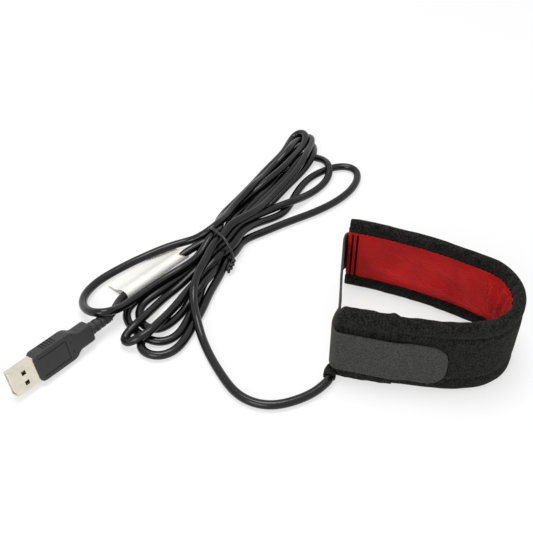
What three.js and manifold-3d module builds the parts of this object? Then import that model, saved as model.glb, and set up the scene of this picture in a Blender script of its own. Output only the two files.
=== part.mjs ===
// Telescope dew heater strip: a padded velour band with a resistance wire inside, closed by a
// hook tape strap, and its tied USB lead. Millimetres, +Z up, standing on its lower edge with the
// loop's middle over the origin.
import * as THREE from "three";
import { mergeVertices } from "three/addons/utils/BufferGeometryUtils.js";
import Module from "manifold-3d";

const wasm = await Module();
wasm.setup();

const radians = THREE.MathUtils.degToRad;

// The band's outer face seen from above, from the cord's end round to the far end:
// each stretch has a length in millimetres and turns left by an angle in degrees.
const NEAR_END = new THREE.Vector2(-37, -27);
const NEAR_HEADING = -14.9;
const FRONT_PANEL = { length: 43.3, turn: 7.7 };
const FIRST_SHOULDER = { length: 17.5, turn: 15.8 };
const NOSE = { length: 38.8, turn: 93.1 };
const SECOND_SHOULDER = { length: 17.4, turn: 44.2 };
const FAR_PANEL = { length: 67.8, turn: 19.1 };
const STEP = 4;
const STRAP_STEP = 1.5;

// The band's layers, from the outside in
const BAND_HEIGHT = 40.6;
const SHELL_WALL = 1.0;
const PAD_THICKNESS = 0.8;
const WIRE_THICKNESS = 0.5;
const FILM_THICKNESS = 0.25;
const LINING_THICKNESS = 0.4;
const LAYER_GAP = 0.2;
const TOP_HEM = 6.5;
const BOTTOM_HEM = 7.4;
const EDGE_ROUND = 1.4;

// The cover sewn over the end that the cord enters
const COVER_LENGTH = 24.6;
const COVER_WALL = 1.1;
const COVER_PROUD = 1.0;
const COVER_ROUND = 2.2;
const SEAM_GAP = 0.3;

// The heater wire's runs, on a carrier film
const WIRE_RUNS = 4;
const WIRE_MARGIN = 9;
const WIRE_END_MARGIN = 5;
const PIGTAIL = 6;
const FILM_MARGIN = 5;

// The two leads and their joints
const LEAD_DIAMETER = 1.2;
const SLEEVE_WALL = 0.4;
const SLEEVE_GAP = 0.15;
const SLEEVE_LENGTH = 5;
const JOINT_GAP = 0.3;
const LEAD_OFFSET = 1.1;
const LEAD_BENDS = [1.4, 3.1];

// The cord and its cuff
const CORD_DIAMETER = 4.1;
const CORD_TAIL = 12;
const CUFF_WALL = 0.75;
const CUFF_GAP = 0.1;
const CORD_EXIT = new THREE.Vector3(-40.4, -30.1, 3);
const TAIL_OUT = 2.2;
const TAIL_ASIDE = 1.6;
const TAIL_DROP = 0.1;

// The closure strap: hook tape sewn to the far panel, round to the front panel
const STRAP_WIDTH = 21.4;
const STRAP_THICKNESS = 1.0;
const STRAP_HEIGHT = 17.1;
const STRAP_RISE = 1.5;
const STRAP_OVERLAP = 13;
const STRAP_TIP = 46.8;
const STRAP_GAP = 0.2;
const STRAP_TIP_ROUND = 8.5;
const STRAP_EASE = 8;
const STRAP_OFF = 3.5;
const STRAP_BOW = 3;
const STRAP_CORNER = 5;
const STRAP_HANDLE = 3;
const LEAVE_HANDLE = 2.5;

// The sewing thread
const THREAD = 0.8;
const THREAD_DEPTH = 0.35;
const THREAD_GAP = 0.1;
const END_ROWS = [1.8, 4.4];
const BOX_STITCH_INSET = 1.6;

// The wire tie round the hank
const TIE_CENTRE = new THREE.Vector2(-92.2, 54.3);
const TIE_DIRECTION = -50.7;
const TIE_WIRE = 1.8;
const HANK_HALF_WIDTH = 10.5;
const HANK_BOTTOM = 2.5;
const HANK_TOP = 11;
const TIE_TAIL = 6;
const FREE_GAP = 0.3;

// The label folded round the cord
const LABEL_START = new THREE.Vector2(-137.1, 21.1);
const LABEL_YAW = 47.8;
const LABEL_LENGTH = 37;
const LABEL_WIDTH = 11;
const LABEL_THICKNESS = 0.5;
const LABEL_WALL = 0.25;
const LABEL_HEIGHT = 3;

// The USB plug
const PLUG_TIP = new THREE.Vector3(-178.3, -38.9, 8.5);
const PLUG_YAW = 49.3;
const PLUG_PITCH = 1.6;
const PLUG_ROLL = 73;
const USB_WIDTH = 12;
const USB_HEIGHT = 4.5;
const USB_WALL = 0.3;
const USB_SHOWN = 12.25;
const USB_BURIED = 6;
const USB_WINDOW = 2.1;
const USB_WINDOW_SPACING = 5.2;
const USB_WINDOW_AT = 6.4;
const TONGUE_THICKNESS = 1.9;
const TONGUE_SETBACK = 0.6;
const INSULATOR_BLOCK = 8;
const CONTACT_COUNT = 4;
const CONTACT_WIDTH = 1.1;
const CONTACT_THICKNESS = 0.25;
const CONTACT_SPACING = 2.3;
const CONTACT_LENGTH = 7.4;
const CONTACT_SETBACK = 1.6;
const PLUG_GAP = 0.15;
const GRIP_WIDTH = 14.2;
const GRIP_THICKNESS = 7;
const GRIP_LENGTH = 19.5;
const GRIP_TAPER = 3.2;
const NECK_WIDTH = 9;
const NECK_LENGTH = 9;
const GRIP_ROUND = 1.6;
const GRIP_EDGE = 0.9;
const RIB_COUNT = 5;
const RIB_PITCH = 1.5;
const RIB_WIDTH = 0.7;
const RIB_DEPTH = 0.4;
const PANEL_DEPTH = 0.3;
const PANEL_LINE = 0.5;
const PANEL_LENGTH = 15;
const PANEL_WIDTH = 9.6;
const PANEL_SETBACK = 2;
const DIMPLE_DIAMETER = 0.9;
const DIMPLE_SPACING = 4.6;
const DIMPLE_SETBACK = 2.2;
const RELIEF_LENGTH = 12;
const RELIEF_DIAMETER = 6.2;
const RELIEF_TAPER = 0.8;
const RELIEF_RINGS = 4;
const RELIEF_GROOVE = 0.55;

// The cord's route from the band to the tie, and from the plug to the tie, chosen by hand
const EXIT_ROUTE = [
  [-41.1, -32.3, 3], [-44.7, -36.2, 2.5], [-53.7, -41.7, 2.1], [-67.7, -45.2, 2.1], [-79.7, -40.2, 2.1],
  [-87.7, -29.2, 2.5], [-96.2, -12.7, 4.5], [-101.7, 5.8, 6.5], [-103.2, 17.3, 7], [-101.7, 30.8, 7],
  [-97.7, 44.3, 8.5],
];
const PLUG_ROUTE = [
  [-139.6, 10.1, 5], [-139.9, 15.5, 3.4], [-138.3, 19.8, 3], [-129.9, 29, 3], [-121.9, 37.9, 3],
  [-111.1, 49.7, 3], [-105.2, 53.8, 4.2], [-98.2, 57.3, 5.6],
];

// The hank's runs seen from above, each a chain of round spots (x, y, radius) between two heights
const SINGLE = CORD_DIAMETER / 2;
const HANK_RUNS = [
  {
    low: HANK_BOTTOM,
    high: HANK_TOP,
    spots: [
      [-99.2, 48.3, HANK_HALF_WIDTH], [-85.2, 61.3, HANK_HALF_WIDTH],
    ],
  },
  {
    low: 0,
    high: 8.4,
    spots: [
      [-82.7, 70.3, 8], [-79.7, 83.3, 9.6], [-69.7, 99.3, 9.8], [-57.9, 118.3, 10], [-50.4, 135.3, 9],
      [-47.1, 148.3, 7], [-46.6, 152.3, 6],
    ],
  },
  {
    low: 3.4,
    high: 7.5,
    spots: [
      [-77.7, 76.3, SINGLE], [-60.7, 87.3, SINGLE], [-41.7, 101.3, SINGLE], [-33.7, 112.3, SINGLE],
      [-31.7, 122.3, SINGLE], [-36.7, 132.3, SINGLE], [-45.7, 134.8, SINGLE],
    ],
  },
  {
    low: 0,
    high: 4.1,
    spots: [
      [-80.7, 64.3, SINGLE], [-57.7, 77.3, SINGLE], [-35.7, 90.3, SINGLE], [-19.7, 107.3, SINGLE],
      [-15.9, 119.3, SINGLE], [-21.7, 127.8, SINGLE], [-32.7, 125.3, SINGLE], [-43.7, 116.3, SINGLE],
      [-51.7, 101.3, SINGLE], [-59.7, 83.8, SINGLE], [-72.7, 74.3, SINGLE],
    ],
  },
  {
    low: 6.9,
    high: 11,
    spots: [
      [-96.7, 58.3, SINGLE], [-121.2, 46.3, SINGLE], [-136.7, 36.3, SINGLE],
    ],
  },
  {
    low: 10.2,
    high: 13.8,
    spots: [
      [-129.7, 41.3, SINGLE], [-149.2, 25.3, SINGLE], [-153.7, 13.3, SINGLE], [-152.7, 4.3, SINGLE],
      [-145.2, -0.3, SINGLE], [-136.7, 4.6, SINGLE], [-123.7, 21.7, SINGLE],
    ],
  },
  {
    low: 6.9,
    high: 11,
    spots: [
      [-127.7, 17.3, SINGLE], [-109.7, 36.3, SINGLE], [-97.7, 48.3, SINGLE],
    ],
  },
  {
    low: 0,
    high: 8.4,
    spots: [
      [-95.2, 44.3, 7], [-105.7, 28.3, 6.5], [-113.7, 11.3, 11], [-120.7, -3.7, 15.6],
    ],
  },
  {
    low: 0,
    high: 4.1,
    spots: [
      [-107.7, -9.7, SINGLE], [-101.7, 6.9, SINGLE], [-96.7, 20.3, SINGLE], [-90.2, 40.3, SINGLE],
    ],
  },
];

const STRETCHES = [FRONT_PANEL, FIRST_SHOULDER, NOSE, SECOND_SHOULDER, FAR_PANEL];
const BAND_LENGTH = STRETCHES.reduce((sum, stretch) => sum + stretch.length, 0);
const PAD_AT = SHELL_WALL + LAYER_GAP;
const WIRE_AT = PAD_AT + PAD_THICKNESS + LAYER_GAP;
const FILM_AT = WIRE_AT + WIRE_THICKNESS + LAYER_GAP;
const LINING_AT = FILM_AT + FILM_THICKNESS + LAYER_GAP;
const HEM_AT = LINING_AT + LINING_THICKNESS + LAYER_GAP;
const BAND_THICKNESS = HEM_AT + SHELL_WALL;
const BAND_MIDDLE = BAND_THICKNESS / 2;
const BODY_START = COVER_LENGTH + SEAM_GAP;
const CORD_RADIUS = CORD_DIAMETER / 2;
const CUFF_RADIUS = CORD_RADIUS + CUFF_GAP + CUFF_WALL;
const TAIL_HEIGHT = COVER_WALL + CORD_RADIUS + CUFF_GAP + SLEEVE_GAP;

// A point beside the band's outer face: `along` it from the near end, `inward` of it, at height z
function bandPoint(along, inward, z) {
  let heading = radians(NEAR_HEADING);
  let { x, y } = NEAR_END;
  let left = along;
  for (const { length, turn } of STRETCHES) {
    if (left <= 0) break;
    const run = Math.min(left, length);
    const next = heading + (radians(turn) * run) / length;
    const radius = length / radians(turn);
    x += radius * (Math.sin(next) - Math.sin(heading));
    y -= radius * (Math.cos(next) - Math.cos(heading));
    heading = next;
    left -= run;
  }
  x += Math.cos(heading) * left;
  y += Math.sin(heading) * left;
  return new THREE.Vector3(x - inward * Math.sin(heading), y + inward * Math.cos(heading), z);
}

// A level line beside the band between two distances along it, its distance inward a function
class BandLine extends THREE.Curve {
  constructor(from, to, inward = () => 0, z = 0) {
    super();
    Object.assign(this, { from, to, inward, z });
  }

  getPoint(t, target = new THREE.Vector3()) {
    const along = this.from + (this.to - this.from) * t;
    return target.copy(bandPoint(along, this.inward(along), this.z));
  }
}

// A flat shape from its corners, each [x, y, round]
function roundedShape(corners) {
  const shape = new THREE.Shape();
  corners.forEach(([x, y, round], i) => {
    const corner = new THREE.Vector2(x, y);
    const before = corners.at(i - 1);
    const after = corners[(i + 1) % corners.length];
    const step = (other) => new THREE.Vector2(other[0] - x, other[1] - y).setLength(round).add(corner);
    const enter = step(before);
    const leave = step(after);
    if (i === 0) shape.moveTo(enter.x, enter.y);
    else shape.lineTo(enter.x, enter.y);
    if (round > 0) shape.quadraticCurveTo(x, y, leave.x, leave.y);
  });
  return shape;
}

// A section of the band, as corners [inward, z, round], carried along a level line
function sweep(line, corners, step = STEP) {
  const shape = roundedShape(corners.map(([inward, z, round]) => [-z, inward, round ?? 0]));
  const steps = Math.max(1, Math.ceil(line.getLength() / step));
  const path = { steps, curveSegments: 2, extrudePath: line, bevelEnabled: false };
  return new THREE.ExtrudeGeometry(shape, path);
}

// A rectangle from one inward distance and height to another, as a section's corners
function slab(inwardFrom, inwardTo, low, high, round = 0) {
  return [
    [inwardFrom, low, round], [inwardFrom, high, round], [inwardTo, high, round], [inwardTo, low, round],
  ];
}

// A round rod or sleeve along a curve
function rod(curve, radius, steps, bore = 0, sides = 10) {
  const shape = new THREE.Shape().absarc(0, 0, radius, 0, 2 * Math.PI);
  if (bore) shape.holes.push(new THREE.Path().absarc(0, 0, bore, 0, 2 * Math.PI, true));
  const path = { steps, curveSegments: sides / 2, extrudePath: curve, bevelEnabled: false };
  return new THREE.ExtrudeGeometry(shape, path);
}

function box(x0, x1, y0, y1, z0, z1) {
  const block = new THREE.BoxGeometry(x1 - x0, y1 - y0, z1 - z0);
  return block.translate((x0 + x1) / 2, (y0 + y1) / 2, (z0 + z1) / 2);
}

function solidOf(geometry) {
  const bare = new THREE.BufferGeometry();
  const loose = geometry.index ? geometry.toNonIndexed() : geometry;
  bare.setAttribute("position", loose.getAttribute("position"));
  const merged = mergeVertices(bare, 1e-4);
  const vertProperties = merged.attributes.position.array;
  return new wasm.Manifold(new wasm.Mesh({ numProp: 3, vertProperties, triVerts: merged.index.array }));
}

function geometryOf(solid) {
  const { vertProperties, triVerts } = solid.getMesh();
  const geometry = new THREE.BufferGeometry();
  geometry.setAttribute("position", new THREE.BufferAttribute(vertProperties, 3));
  geometry.setIndex(new THREE.BufferAttribute(triVerts, 1));
  return geometry;
}

const join = (geometries) => geometryOf(geometries.map(solidOf).reduce((all, one) => all.add(one)));

function cut(geometry, tools) {
  return geometryOf(tools.map(solidOf).reduce((left, tool) => left.subtract(tool), solidOf(geometry)));
}

const heater = new THREE.Group();

function add(name, geometry, color, roughness, metalness = 0, parent = heater) {
  const finish = new THREE.MeshStandardMaterial({ color, roughness, metalness });
  const mesh = new THREE.Mesh(geometry, finish);
  mesh.name = name;
  parent.add(mesh);
}

// The outer shell: velour folded inward along both edges, so that its hems hold the lining
function outerShell() {
  const inside = HEM_AT;
  const top = BAND_HEIGHT - SHELL_WALL;
  return sweep(new BandLine(BODY_START, BAND_LENGTH), [
    [0, 0, EDGE_ROUND], [0, BAND_HEIGHT, EDGE_ROUND], [BAND_THICKNESS, BAND_HEIGHT, EDGE_ROUND],
    [BAND_THICKNESS, BAND_HEIGHT - TOP_HEM], [inside, BAND_HEIGHT - TOP_HEM], [inside, top],
    [SHELL_WALL, top], [SHELL_WALL, SHELL_WALL], [inside, SHELL_WALL], [inside, BOTTOM_HEM],
    [BAND_THICKNESS, BOTTOM_HEM], [BAND_THICKNESS, 0, EDGE_ROUND],
  ]);
}

// A flat layer inside the shell, between two heights
function layer(at, thickness, margin) {
  const section = slab(at, at + thickness, margin, BAND_HEIGHT - margin);
  return sweep(new BandLine(BODY_START, BAND_LENGTH), section);
}

// The heater wire: level runs joined at alternate ends, the first and last with a pigtail
function heaterWire() {
  const start = BODY_START + WIRE_END_MARGIN;
  const end = BAND_LENGTH - WIRE_END_MARGIN;
  const spacing = (BAND_HEIGHT - 2 * WIRE_MARGIN) / (WIRE_RUNS - 1);
  const half = WIRE_THICKNESS / 2;
  const pieces = [];
  for (let run = 0; run < WIRE_RUNS; run += 1) {
    const z = WIRE_MARGIN + run * spacing;
    const outermost = run === 0 || run === WIRE_RUNS - 1;
    const from = outermost ? BODY_START - PIGTAIL : start;
    const section = slab(WIRE_AT, WIRE_AT + WIRE_THICKNESS, z - half, z + half);
    pieces.push(sweep(new BandLine(from, end), section));
    if (run === WIRE_RUNS - 1) break;
    const turn = run % 2 === 0 ? end - WIRE_THICKNESS : start;
    const link = slab(WIRE_AT, WIRE_AT + WIRE_THICKNESS, z - half, z + spacing + half);
    pieces.push(sweep(new BandLine(turn, turn + WIRE_THICKNESS), link));
  }
  return join(pieces);
}

// The cord's last stretch inside the band, bending out of the end to where it comes free
function tailLine() {
  return new THREE.CatmullRomCurve3([
    bandPoint(CORD_TAIL, BAND_MIDDLE, TAIL_HEIGHT), bandPoint(CORD_TAIL / 2, BAND_MIDDLE, TAIL_HEIGHT),
    bandPoint(1, BAND_MIDDLE, TAIL_HEIGHT),
    bandPoint(-TAIL_OUT, BAND_MIDDLE - TAIL_ASIDE, TAIL_HEIGHT - TAIL_DROP), CORD_EXIT,
  ]);
}

// The end cover: a velour sleeve, closed at the end, with a hole for the cord low in its end wall
function endCover() {
  const top = BAND_HEIGHT + COVER_PROUD / 2;
  const outer = slab(-COVER_PROUD, BAND_THICKNESS + COVER_PROUD, 0, top, COVER_ROUND);
  const reach = COVER_PROUD - COVER_WALL;
  const inner = slab(-reach, BAND_THICKNESS + reach, COVER_WALL, top - COVER_WALL);
  const hollow = sweep(new BandLine(COVER_WALL, COVER_LENGTH + COVER_WALL), inner);
  const hole = rod(tailLine(), CORD_RADIUS + CUFF_GAP, 12);
  return cut(sweep(new BandLine(0, COVER_LENGTH), outer), [hollow, hole]);
}

// The cuff round the cord, from the end wall outward
function cordCuff() {
  const reach = BAND_THICKNESS + COVER_PROUD + 1;
  const section = slab(-COVER_PROUD - 1, reach, -1, BAND_HEIGHT + 1);
  const cover = sweep(new BandLine(-SEAM_GAP, COVER_LENGTH), section);
  return cut(rod(tailLine(), CUFF_RADIUS, 12, CORD_RADIUS + CUFF_GAP), [cover]);
}

const wireHeights = [WIRE_MARGIN, BAND_HEIGHT - WIRE_MARGIN];
const SLEEVE_START = BODY_START - PIGTAIL - SLEEVE_LENGTH / 2;

// A lead from the cord's inner end, turned up after `bend`, to the middle of its joint sleeve
function lead(startHeight, endHeight, bend) {
  const inward = WIRE_AT + WIRE_THICKNESS / 2;
  const joint = SLEEVE_START + SLEEVE_LENGTH / 2 - JOINT_GAP;
  const from = CORD_TAIL + JOINT_GAP;
  const turn = from + bend;
  const rise = (share) => startHeight + (endHeight - startHeight) * share;
  return rod(new THREE.CatmullRomCurve3([
    bandPoint(from, inward, startHeight), bandPoint(turn - 0.8, inward, startHeight),
    bandPoint(turn - 0.1, inward, rise(0.15)), bandPoint(turn, inward, rise(0.5)),
    bandPoint(turn + 0.1, inward, rise(0.85)), bandPoint(turn + 0.8, inward, endHeight),
    bandPoint(SLEEVE_START, inward, endHeight), bandPoint(joint, inward, endHeight),
  ]), LEAD_DIAMETER / 2, 20, 0, 8);
}

function jointSleeve(z) {
  const bore = LEAD_DIAMETER / 2 + SLEEVE_GAP;
  const wireMiddle = () => WIRE_AT + WIRE_THICKNESS / 2;
  const line = new BandLine(SLEEVE_START, SLEEVE_START + SLEEVE_LENGTH, wireMiddle, z);
  return rod(line, bore + SLEEVE_WALL, 2, bore, 8);
}

// How far inward the strap's middle lies beside the band: outside the cover first, then on the shell
function strapInward(along) {
  const shell = STRAP_GAP + STRAP_THICKNESS / 2;
  const eased = THREE.MathUtils.smoothstep(along, COVER_LENGTH, COVER_LENGTH + STRAP_EASE);
  return -shell - COVER_PROUD * (1 - eased);
}

// The strap's line: along the far panel, bowed across the opening and on along the front panel
function strapLine() {
  const beside = () => -STRAP_GAP - STRAP_THICKNESS / 2;
  const anchor = new BandLine(BAND_LENGTH - STRAP_OVERLAP, BAND_LENGTH, beside);
  const front = new BandLine(0, STRAP_TIP, strapInward);
  const leave = anchor.getPoint(1);
  const arrive = front.getPoint(0);
  const leaveWay = anchor.getTangent(1);
  const arriveWay = front.getTangent(0);
  const across = new THREE.Vector3().subVectors(arrive, leave).setLength(STRAP_CORNER);
  const first = leave.clone().addScaledVector(leaveWay, STRAP_OFF).add(across);
  const last = arrive.clone().addScaledVector(arriveWay, -STRAP_BOW).sub(across);
  const straight = new THREE.Vector3().subVectors(last, first).setLength(STRAP_HANDLE);
  const line = new THREE.CurvePath();
  line.add(anchor);
  line.add(new THREE.CubicBezierCurve3(leave, leave.clone().addScaledVector(leaveWay, LEAVE_HANDLE),
    first.clone().sub(straight), first));
  line.add(new THREE.LineCurve3(first, last));
  line.add(new THREE.CubicBezierCurve3(last, last.clone().add(straight),
    arrive.clone().addScaledVector(arriveWay, -STRAP_HANDLE), arrive));
  line.add(front);
  return line;
}

// What is cut off the strap's tip to round it
function tipCutter() {
  const half = STRAP_WIDTH / 2;
  const back = -STRAP_TIP_ROUND;
  const margin = 2;
  const thick = { depth: 6, curveSegments: 6, bevelEnabled: false };
  const block = roundedShape([[back, -half - margin], [margin, -half - margin], [margin, half + margin],
    [back, half + margin]].map(([x, y]) => [x, y, 0]));
  const kept = roundedShape([
    [back - margin, -half, 0], [0, -half, STRAP_TIP_ROUND], [0, half, STRAP_TIP_ROUND],
    [back - margin, half, 0],
  ]);
  const tool = cut(new THREE.ExtrudeGeometry(block, thick), [new THREE.ExtrudeGeometry(kept, thick)]);
  const line = new BandLine(0, STRAP_TIP, strapInward);
  const way = line.getTangent(1);
  const up = new THREE.Vector3(0, 0, 1);
  const out = new THREE.Vector3().crossVectors(way, up);
  const place = line.getPoint(1).addScaledVector(out, -thick.depth / 2);
  place.z = STRAP_HEIGHT;
  return tool.applyMatrix4(new THREE.Matrix4().makeBasis(way, up, out).setPosition(place));
}

// The strap slopes: its anchored end sits higher than its free end
function slope(geometry) {
  const position = geometry.getAttribute("position");
  const back = bandPoint(BAND_LENGTH, 0, 0).y;
  const front = NEAR_END.y;
  for (let i = 0; i < position.count; i += 1) {
    const share = THREE.MathUtils.clamp((position.getY(i) - front) / (back - front), 0, 1);
    position.setZ(i, position.getZ(i) + STRAP_RISE * share);
  }
  return geometry;
}

function closureStrap() {
  const half = STRAP_THICKNESS / 2;
  const low = STRAP_HEIGHT - STRAP_WIDTH / 2;
  const strap = sweep(strapLine(), slab(-half, half, low, low + STRAP_WIDTH), STRAP_STEP);
  return slope(cut(strap, [tipCutter()]));
}

// The box of stitches that fastens the strap to the far panel
function boxStitch() {
  const out = -STRAP_GAP - STRAP_THICKNESS - THREAD_GAP;
  const depths = [out - THREAD_DEPTH, out];
  const from = BAND_LENGTH - STRAP_OVERLAP + BOX_STITCH_INSET;
  const to = BAND_LENGTH - BOX_STITCH_INSET;
  const low = STRAP_HEIGHT - STRAP_WIDTH / 2 + BOX_STITCH_INSET;
  const high = low + STRAP_WIDTH - 2 * BOX_STITCH_INSET;
  return slope(join([
    sweep(new BandLine(from, to), slab(...depths, low, low + THREAD)),
    sweep(new BandLine(from, to), slab(...depths, high - THREAD, high)),
    sweep(new BandLine(from, from + THREAD), slab(...depths, low, high)),
    sweep(new BandLine(to - THREAD, to), slab(...depths, low, high)),
  ]));
}

// A row of stitches across the lining's far end, between the hems
function endRow(fromEnd) {
  const at = BAND_LENGTH - fromEnd;
  const face = LINING_AT + LINING_THICKNESS + THREAD_GAP;
  const row = slab(face, face + THREAD_DEPTH, BOTTOM_HEM + THREAD_GAP, BAND_HEIGHT - TOP_HEM - THREAD_GAP);
  return sweep(new BandLine(at - THREAD / 2, at + THREAD / 2), row);
}

// The wire tie: one wire round the waist of the hank, its two tails side by side
function tieLine() {
  const room = FREE_GAP + TIE_WIRE / 2;
  const half = HANK_HALF_WIDTH + room;
  const top = HANK_TOP + room;
  const bottom = HANK_BOTTOM - room;
  const middle = (top + bottom) / 2;
  const apart = TIE_WIRE / 2 + FREE_GAP;
  const way = radians(TIE_DIRECTION);
  const ring = [
    [half + TIE_TAIL, middle + apart], [half + 1.5, middle + apart + 0.3], [half - 2, top - 0.6],
    [0, top], [2.5 - half, top - 0.6], [-half, middle + 2], [-half, middle - 2],
    [2.5 - half, bottom + 0.3], [0, bottom], [half - 2.5, bottom + 0.3], [half - 0.1, middle - 3],
    [half + 1.5, middle - apart], [half + TIE_TAIL, middle - apart],
  ];
  return new THREE.CatmullRomCurve3(ring.map(([u, z]) =>
    new THREE.Vector3(TIE_CENTRE.x + u * Math.cos(way), TIE_CENTRE.y + u * Math.sin(way), z)));
}

const exitLine = new THREE.CatmullRomCurve3([
  CORD_EXIT.clone().add(new THREE.Vector3(-0.55, -0.85, 0).setLength(FREE_GAP)),
  ...EXIT_ROUTE.map((point) => new THREE.Vector3(...point)),
]);

// A chain of round spots as one flat-topped run with round ends
function hankRun({ low, high, spots }) {
  const middle = new THREE.CatmullRomCurve3(spots.map(([x, y, radius]) => new THREE.Vector3(x, y, radius)));
  const count = 2 * (spots.length - 1);
  const beside = (t, turn) => {
    const { x, y, z: radius } = middle.getPoint(t);
    const way = middle.getTangent(t);
    const angle = Math.atan2(way.y, way.x) + turn;
    return new THREE.Vector2(x + radius * Math.cos(angle), y + radius * Math.sin(angle));
  };
  const turns = [-0.5, -0.25, 0, 0.25, 0.5].map((share) => share * Math.PI);
  const outline = [];
  for (let i = 1; i < count; i += 1) outline.push(beside(i / count, -Math.PI / 2));
  turns.forEach((turn) => outline.push(beside(1, turn)));
  for (let i = count - 1; i > 0; i -= 1) outline.push(beside(i / count, Math.PI / 2));
  turns.forEach((turn) => outline.push(beside(0, turn + Math.PI)));
  const shape = new THREE.Shape(outline);
  return new THREE.ExtrudeGeometry(shape, { depth: high - low, bevelEnabled: false }).translate(0, 0, low);
}

// The label: a film folded round the cord, its two leaves joined into one flag
const labelFrame = new THREE.Group();
labelFrame.position.set(LABEL_START.x, LABEL_START.y, LABEL_HEIGHT);
labelFrame.rotation.z = radians(LABEL_YAW);
heater.add(labelFrame);

function label(clearance) {
  const bore = CORD_RADIUS + FREE_GAP;
  const radius = bore + LABEL_WALL + clearance;
  const half = LABEL_THICKNESS / 2 + clearance;
  const lean = Math.asin(half / radius);
  const shape = new THREE.Shape();
  shape.absarc(0, 0, radius, lean, 2 * Math.PI - lean);
  shape.lineTo(LABEL_WIDTH + clearance, -half);
  shape.lineTo(LABEL_WIDTH + clearance, half);
  if (!clearance) shape.holes.push(new THREE.Path().absarc(0, 0, bore, 0, 2 * Math.PI, true));
  const depth = LABEL_LENGTH + 2 * clearance;
  const film = new THREE.ExtrudeGeometry(shape, { depth, curveSegments: 8, bevelEnabled: false });
  const alongCord = new THREE.Matrix4().makeBasis(
    new THREE.Vector3(0, 1, 0), new THREE.Vector3(0, 0, 1), new THREE.Vector3(1, 0, 0));
  return film.translate(0, 0, -clearance).applyMatrix4(alongCord);
}

// The plug's own frame: x from its tip to the rear, y across it, z out of its upper face
const plug = new THREE.Group();
plug.position.copy(PLUG_TIP);
plug.rotation.set(radians(PLUG_ROLL), radians(PLUG_PITCH), radians(PLUG_YAW), "ZYX");
heater.add(plug);
heater.updateMatrixWorld(true);

const GRIP_END = USB_SHOWN + GRIP_LENGTH + GRIP_TAPER + NECK_LENGTH;

function plugShell() {
  const half = [USB_WIDTH / 2, USB_HEIGHT / 2];
  const tube = box(0, USB_SHOWN + USB_BURIED, -half[0], half[0], -half[1], half[1]);
  const inside = half.map((size) => size - USB_WALL);
  const hollow = box(-1, USB_SHOWN + USB_BURIED + 1, -inside[0], inside[0], -inside[1], inside[1]);
  const windows = [-1, 1].map((side) => {
    const y = (side * USB_WINDOW_SPACING) / 2;
    const reach = USB_WINDOW / 2;
    return box(USB_WINDOW_AT - reach, USB_WINDOW_AT + reach, y - reach, y + reach, -USB_HEIGHT, USB_HEIGHT);
  });
  return cut(tube, [hollow, ...windows]);
}

const TONGUE_HALF = USB_WIDTH / 2 - USB_WALL - PLUG_GAP;
const TONGUE_LOW = -USB_HEIGHT / 2 + USB_WALL + PLUG_GAP;
const BLOCK_START = USB_SHOWN + USB_BURIED - INSULATOR_BLOCK;

function insulator() {
  const sides = [-TONGUE_HALF, TONGUE_HALF];
  const tongueTop = TONGUE_LOW + TONGUE_THICKNESS;
  const tongue = box(TONGUE_SETBACK, BLOCK_START + 1, ...sides, TONGUE_LOW, tongueTop);
  const block = box(BLOCK_START, BLOCK_START + INSULATOR_BLOCK, ...sides, TONGUE_LOW, -TONGUE_LOW);
  return join([tongue, block]);
}

function contact(index) {
  const y = (index - (CONTACT_COUNT - 1) / 2) * CONTACT_SPACING;
  const face = TONGUE_LOW + TONGUE_THICKNESS + PLUG_GAP;
  const half = CONTACT_WIDTH / 2;
  const end = CONTACT_SETBACK + CONTACT_LENGTH;
  return box(CONTACT_SETBACK, end, y - half, y + half, face, face + CONTACT_THICKNESS);
}

// The strain relief: a tapering sleeve moulded with the grip, cut by ring grooves
function strainRelief() {
  const profile = [new THREE.Vector2(0, -1), new THREE.Vector2(RELIEF_DIAMETER / 2, -1)];
  const pitch = RELIEF_LENGTH / RELIEF_RINGS;
  const radiusAt = (x) => (RELIEF_DIAMETER - RELIEF_TAPER * (x / RELIEF_LENGTH)) / 2;
  for (let ring = 0; ring < RELIEF_RINGS; ring += 1) {
    const x = ring * pitch;
    profile.push(new THREE.Vector2(radiusAt(x), x + pitch * 0.6));
    profile.push(new THREE.Vector2(radiusAt(x) - RELIEF_GROOVE, x + pitch * 0.65));
    profile.push(new THREE.Vector2(radiusAt(x) - RELIEF_GROOVE, x + pitch * 0.95));
    profile.push(new THREE.Vector2(radiusAt(x + pitch), x + pitch));
  }
  profile.push(new THREE.Vector2(0, RELIEF_LENGTH));
  return new THREE.LatheGeometry(profile, 14).rotateZ(-Math.PI / 2).translate(GRIP_END, 0, 0);
}

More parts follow.
